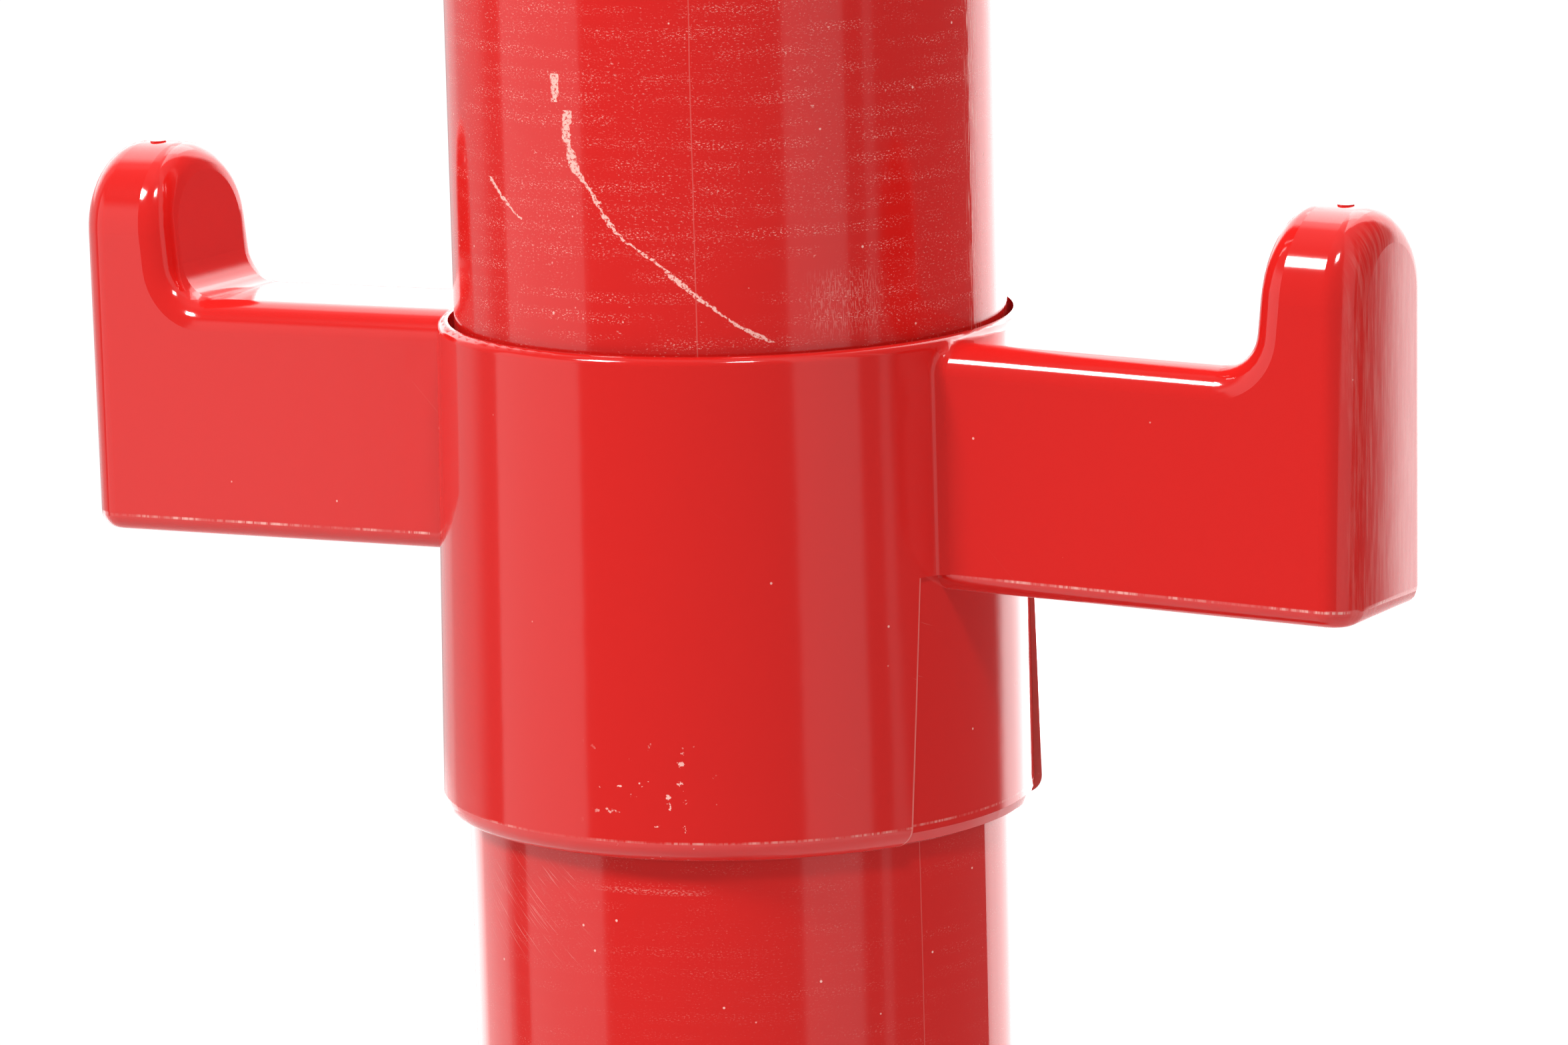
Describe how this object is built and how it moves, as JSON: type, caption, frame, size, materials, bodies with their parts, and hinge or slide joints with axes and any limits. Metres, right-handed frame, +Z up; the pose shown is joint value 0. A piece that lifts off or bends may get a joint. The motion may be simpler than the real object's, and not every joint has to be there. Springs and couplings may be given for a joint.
{
  "type": "post driver",
  "caption": "Drop-hammer post driver: steel guide tube, sliding red plastic-sleeved hammer and a swivelling collar with two upturned hook arms.",
  "frame": {"origin": "centre of the open mouth, in the plane of the foot ring's underside", "axes": "+Z up along the tubes, +X along the right hook arm, +Y away from the viewer"},
  "size_m": [0.2912, 0.132, 0.7024],
  "materials": {
    "guide_steel": "zinc plated, scuffed",
    "foot_steel": "black enamel, worn",
    "anvil_steel": "turned, hardened",
    "pad_plastic": "moulded, matt",
    "screw_steel": "zinc plated",
    "bush_nylon": "turned nylon",
    "spring_steel": "oil blackened",
    "red_pipe_lower": "extruded, glossy, scratched",
    "wiper_rubber": "moulded, matt",
    "foot_screw_steel": "zinc plated",
    "hammer_steel": "drawn, zinc plated",
    "weight_iron": "turned",
    "red_pipe_upper": "extruded, glossy, heavily scuffed",
    "red_cap": "moulded, glossy",
    "washer_steel": "zinc plated",
    "cap_screw_steel": "zinc plated",
    "red_collar": "moulded, glossy",
    "red_cover": "moulded, satin",
    "cover_screw_steel": "zinc plated"
  },
  "bodies": {
    "guide": {"guide_tube": "guide_steel", "foot_ring": "foot_steel", "anvil_plate": "anvil_steel", "post_pad": "pad_plastic", "pad_screw": "screw_steel", "guide_bush": "bush_nylon", "stop_ring": "spring_steel", "lower_sleeve": "red_pipe_lower", "wiper_ring": "wiper_rubber", "foot_screws": "foot_screw_steel"},
    "hammer": {"hammer_tube": "hammer_steel", "lower_bush": "bush_nylon", "bush_screws": "screw_steel", "strike_plate": "anvil_steel", "striker_weight": "weight_iron", "weight_screws": "screw_steel", "upper_sleeve": "red_pipe_upper", "packing_ring_lower": "bush_nylon", "packing_ring_upper": "bush_nylon", "head_cap": "red_cap", "cap_washers": "washer_steel", "cap_screws": "cap_screw_steel", "thrust_washer_upper": "bush_nylon", "thrust_washer_lower": "bush_nylon", "collar_snap_ring": "spring_steel"},
    "collar": {"hook_collar": "red_collar", "collar_bush": "bush_nylon", "arm_cover_right": "red_cover", "arm_cover_left": "red_cover", "cover_screws": "cover_screw_steel"}
  },
  "joints": [
    {"name": "hammer_slide", "type": "slide", "parent": "guide", "child": "hammer", "axis": [0, 0, 1], "range_m": [0, 0.3]},
    {"name": "collar_swivel", "type": "hinge", "parent": "hammer", "child": "collar", "pos_m": [0, 0, 0.49], "axis": [0, 0, 1], "continuous": true}
  ]
}
